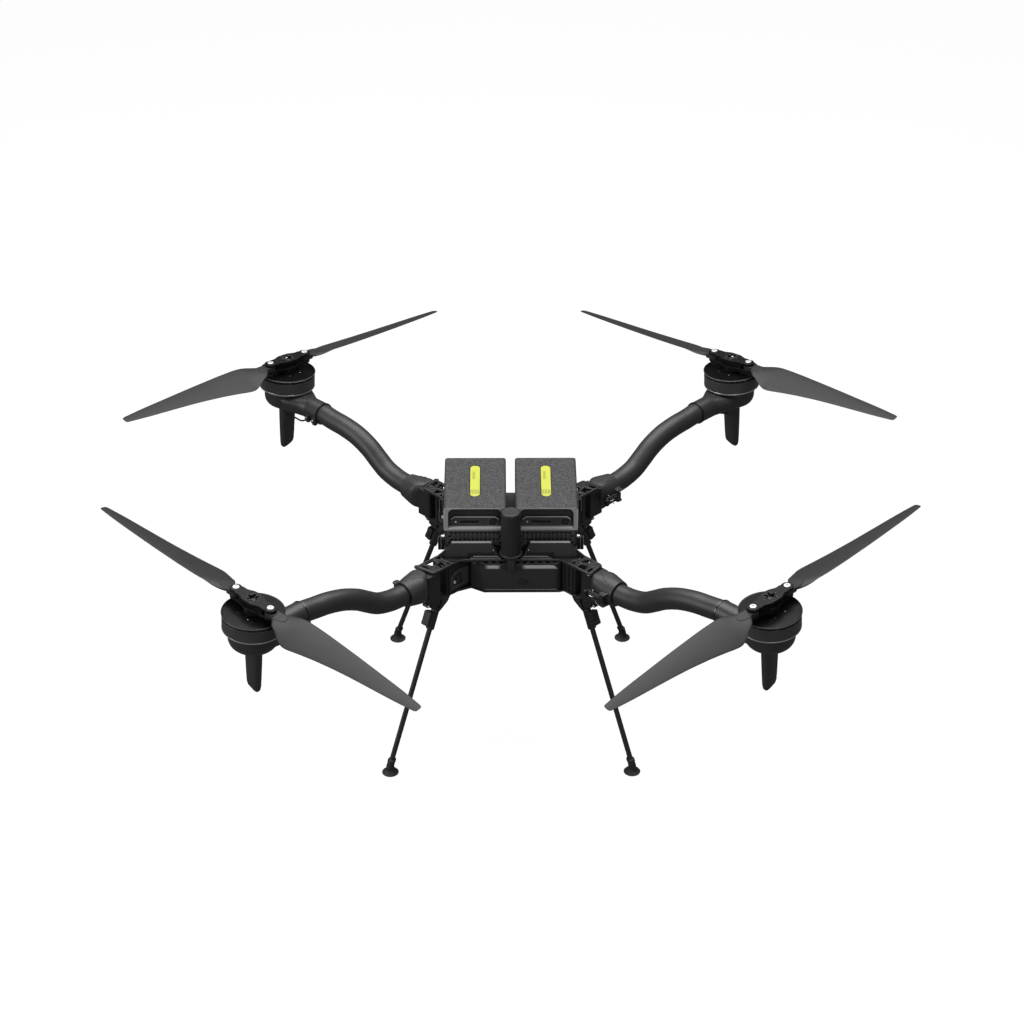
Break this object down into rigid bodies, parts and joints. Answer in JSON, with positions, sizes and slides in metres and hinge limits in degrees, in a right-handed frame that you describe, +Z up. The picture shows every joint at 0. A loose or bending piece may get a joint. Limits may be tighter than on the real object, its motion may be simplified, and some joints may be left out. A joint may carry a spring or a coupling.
{
  "type": "quadcopter drone",
  "caption": "Heavy-lift folding quadcopter with gull-wing booms, folding two-blade propellers, twin top batteries and splayed landing legs.",
  "frame": {"origin": "on the ground under the middle of the craft", "axes": "+Z up, -Y towards the side with the antenna mast and battery buttons, +X to the right seen from there"},
  "size_m": [1.6672, 1.6426, 0.6156],
  "materials": {
    "moulding": "fine-textured black glass-filled nylon",
    "carbon": "satin carbon-fibre tube",
    "motor_metal": "black anodised, satin",
    "blade": "satin dark grey moulded composite",
    "pack_shell": "grained dark grey moulding",
    "pack_label": "plain yellow label",
    "vent": "black moulded mesh",
    "steel": "plain bolt heads",
    "rubber": "matt black rubber",
    "controller": "plain moulded case"
  },
  "bodies": {
    "chassis": {"upper_plate": "moulding", "lower_plate": "moulding", "electronics_bay": "moulding", "flight_controller": "controller", "front_port": "moulding", "battery_tray": "moulding", "mast": "moulding", "mast_bracket": "moulding", "corner_block_front_left": "moulding", "leg_bracket_front_left": "moulding", "corner_block_front_right": "moulding", "leg_bracket_front_right": "moulding", "corner_block_rear_right": "moulding", "leg_bracket_rear_right": "moulding", "corner_block_rear_left": "moulding", "leg_bracket_rear_left": "moulding"},
    "boom_front_left": {"boom_fitting_front_left": "moulding", "boom_tube_front_left": "carbon", "motor_mount_front_left": "motor_metal"},
    "latch_front_left": {"boom_latch_front_left": "moulding"},
    "rotor_front_left": {"motor_bell_front_left": "motor_metal", "prop_hub_front_left": "moulding"},
    "blade_a_front_left": {"blade_a_front_left": "blade"},
    "blade_b_front_left": {"blade_b_front_left": "blade"},
    "leg_front_left": {"leg_tube_front_left": "carbon", "leg_foot_front_left": "rubber"},
    "boom_front_right": {"boom_fitting_front_right": "moulding", "boom_tube_front_right": "carbon", "motor_mount_front_right": "motor_metal"},
    "latch_front_right": {"boom_latch_front_right": "moulding"},
    "rotor_front_right": {"motor_bell_front_right": "motor_metal", "prop_hub_front_right": "moulding"},
    "blade_a_front_right": {"blade_a_front_right": "blade"},
    "blade_b_front_right": {"blade_b_front_right": "blade"},
    "leg_front_right": {"leg_tube_front_right": "carbon", "leg_foot_front_right": "rubber"},
    "boom_rear_right": {"boom_fitting_rear_right": "moulding", "boom_tube_rear_right": "carbon", "motor_mount_rear_right": "motor_metal"},
    "latch_rear_right": {"boom_latch_rear_right": "moulding"},
    "rotor_rear_right": {"motor_bell_rear_right": "motor_metal", "prop_hub_rear_right": "moulding"},
    "blade_a_rear_right": {"blade_a_rear_right": "blade"},
    "blade_b_rear_right": {"blade_b_rear_right": "blade"},
    "leg_rear_right": {"leg_tube_rear_right": "carbon", "leg_foot_rear_right": "rubber"},
    "boom_rear_left": {"boom_fitting_rear_left": "moulding", "boom_tube_rear_left": "carbon", "motor_mount_rear_left": "motor_metal"},
    "latch_rear_left": {"boom_latch_rear_left": "moulding"},
    "rotor_rear_left": {"motor_bell_rear_left": "motor_metal", "prop_hub_rear_left": "moulding"},
    "blade_a_rear_left": {"blade_a_rear_left": "blade"},
    "blade_b_rear_left": {"blade_b_rear_left": "blade"},
    "leg_rear_left": {"leg_tube_rear_left": "carbon", "leg_foot_rear_left": "rubber"},
    "battery_left": {"battery_left": "pack_shell"},
    "button_left": {"battery_button_left": "moulding"},
    "battery_right": {"battery_right": "pack_shell"},
    "button_right": {"battery_button_right": "moulding"}
  },
  "joints": [
    {"name": "boom_fold_front_left", "type": "hinge", "parent": "chassis", "child": "boom_front_left", "pos_m": [-0.15839, -0.17536, 0.4195], "axis": [0, 0, 1], "range_deg": [0, 135]},
    {"name": "boom_latch_front_left", "type": "hinge", "parent": "boom_front_left", "child": "latch_front_left", "pos_m": [-0.2383, -0.18597, 0.422], "axis": [0, 0, 1], "range_deg": [0, 75]},
    {"name": "rotor_spin_front_left", "type": "hinge", "parent": "boom_front_left", "child": "rotor_front_left", "pos_m": [-0.5, -0.5, 0.602], "axis": [0.0444, -0.0444, 0.998], "continuous": true},
    {"name": "blade_fold_a_front_left", "type": "hinge", "parent": "rotor_front_left", "child": "blade_a_front_left", "pos_m": [-0.53563, -0.46724, 0.60504], "axis": [-0.0444, 0.0444, -0.998], "range_deg": [-90, 90]},
    {"name": "blade_fold_b_front_left", "type": "hinge", "parent": "rotor_front_left", "child": "blade_b_front_left", "pos_m": [-0.46437, -0.53276, 0.59896], "axis": [-0.0444, 0.0444, -0.998], "range_deg": [-90, 90]},
    {"name": "leg_release_front_left", "type": "slide", "parent": "chassis", "child": "leg_front_left", "axis": [-0.2748, -0.2748, -0.9214], "range_m": [0, 0.05]},
    {"name": "boom_fold_front_right", "type": "hinge", "parent": "chassis", "child": "boom_front_right", "pos_m": [0.17536, -0.15839, 0.4195], "axis": [0, 0, 1], "range_deg": [0, 135]},
    {"name": "boom_latch_front_right", "type": "hinge", "parent": "boom_front_right", "child": "latch_front_right", "pos_m": [0.18597, -0.2383, 0.422], "axis": [0, 0, 1], "range_deg": [0, 75]},
    {"name": "rotor_spin_front_right", "type": "hinge", "parent": "boom_front_right", "child": "rotor_front_right", "pos_m": [0.5, -0.5, 0.602], "axis": [-0.0444, -0.0444, 0.998], "continuous": true},
    {"name": "blade_fold_a_front_right", "type": "hinge", "parent": "rotor_front_right", "child": "blade_a_front_right", "pos_m": [0.53563, -0.46724, 0.60504], "axis": [0.0444, 0.0444, -0.998], "range_deg": [-90, 90]},
    {"name": "blade_fold_b_front_right", "type": "hinge", "parent": "rotor_front_right", "child": "blade_b_front_right", "pos_m": [0.46437, -0.53276, 0.59896], "axis": [0.0444, 0.0444, -0.998], "range_deg": [-90, 90]},
    {"name": "leg_release_front_right", "type": "slide", "parent": "chassis", "child": "leg_front_right", "axis": [0.2748, -0.2748, -0.9214], "range_m": [0, 0.05]},
    {"name": "boom_fold_rear_right", "type": "hinge", "parent": "chassis", "child": "boom_rear_right", "pos_m": [0.15839, 0.17536, 0.4195], "axis": [0, 0, 1], "range_deg": [0, 135]},
    {"name": "boom_latch_rear_right", "type": "hinge", "parent": "boom_rear_right", "child": "latch_rear_right", "pos_m": [0.2383, 0.18597, 0.422], "axis": [0, 0, 1], "range_deg": [0, 75]},
    {"name": "rotor_spin_rear_right", "type": "hinge", "parent": "boom_rear_right", "child": "rotor_rear_right", "pos_m": [0.5, 0.5, 0.602], "axis": [-0.0444, 0.0444, 0.998], "continuous": true},
    {"name": "blade_fold_a_rear_right", "type": "hinge", "parent": "rotor_rear_right", "child": "blade_a_rear_right", "pos_m": [0.53563, 0.46724, 0.60504], "axis": [0.0444, -0.0444, -0.998], "range_deg": [-90, 90]},
    {"name": "blade_fold_b_rear_right", "type": "hinge", "parent": "rotor_rear_right", "child": "blade_b_rear_right", "pos_m": [0.46437, 0.53276, 0.59896], "axis": [0.0444, -0.0444, -0.998], "range_deg": [-90, 90]},
    {"name": "leg_release_rear_right", "type": "slide", "parent": "chassis", "child": "leg_rear_right", "axis": [0.2748, 0.2748, -0.9214], "range_m": [0, 0.05]},
    {"name": "boom_fold_rear_left", "type": "hinge", "parent": "chassis", "child": "boom_rear_left", "pos_m": [-0.17536, 0.15839, 0.4195], "axis": [0, 0, 1], "range_deg": [0, 135]},
    {"name": "boom_latch_rear_left", "type": "hinge", "parent": "boom_rear_left", "child": "latch_rear_left", "pos_m": [-0.18597, 0.2383, 0.422], "axis": [0, 0, 1], "range_deg": [0, 75]},
    {"name": "rotor_spin_rear_left", "type": "hinge", "parent": "boom_rear_left", "child": "rotor_rear_left", "pos_m": [-0.5, 0.5, 0.602], "axis": [0.0444, 0.0444, 0.998], "continuous": true},
    {"name": "blade_fold_a_rear_left", "type": "hinge", "parent": "rotor_rear_left", "child": "blade_a_rear_left", "pos_m": [-0.53563, 0.46724, 0.60504], "axis": [-0.0444, -0.0444, -0.998], "range_deg": [-90, 90]},
    {"name": "blade_fold_b_rear_left", "type": "hinge", "parent": "rotor_rear_left", "child": "blade_b_rear_left", "pos_m": [-0.46437, 0.53276, 0.59896], "axis": [-0.0444, -0.0444, -0.998], "range_deg": [-90, 90]},
    {"name": "leg_release_rear_left", "type": "slide", "parent": "chassis", "child": "leg_rear_left", "axis": [-0.2748, 0.2748, -0.9214], "range_m": [0, 0.05]},
    {"name": "battery_lift_left", "type": "slide", "parent": "chassis", "child": "battery_left", "axis": [0, 0, 1], "range_m": [0, 0.12]},
    {"name": "button_press_left", "type": "slide", "parent": "battery_left", "child": "button_left", "axis": [0, 1, 0], "range_m": [0, 0.0015], "stiffness_N_per_m": 800, "springref_m": -0.0005},
    {"name": "battery_lift_right", "type": "slide", "parent": "chassis", "child": "battery_right", "axis": [0, 0, 1], "range_m": [0, 0.12]},
    {"name": "button_press_right", "type": "slide", "parent": "battery_right", "child": "button_right", "axis": [0, 1, 0], "range_m": [0, 0.0015], "stiffness_N_per_m": 800, "springref_m": -0.0005}
  ],
  "couplings": [
    {"joint": "boom_fold_front_right", "follows": "boom_fold_front_left", "ratio": 1},
    {"joint": "boom_fold_rear_right", "follows": "boom_fold_front_left", "ratio": 1},
    {"joint": "boom_fold_rear_left", "follows": "boom_fold_front_left", "ratio": 1}
  ]
}
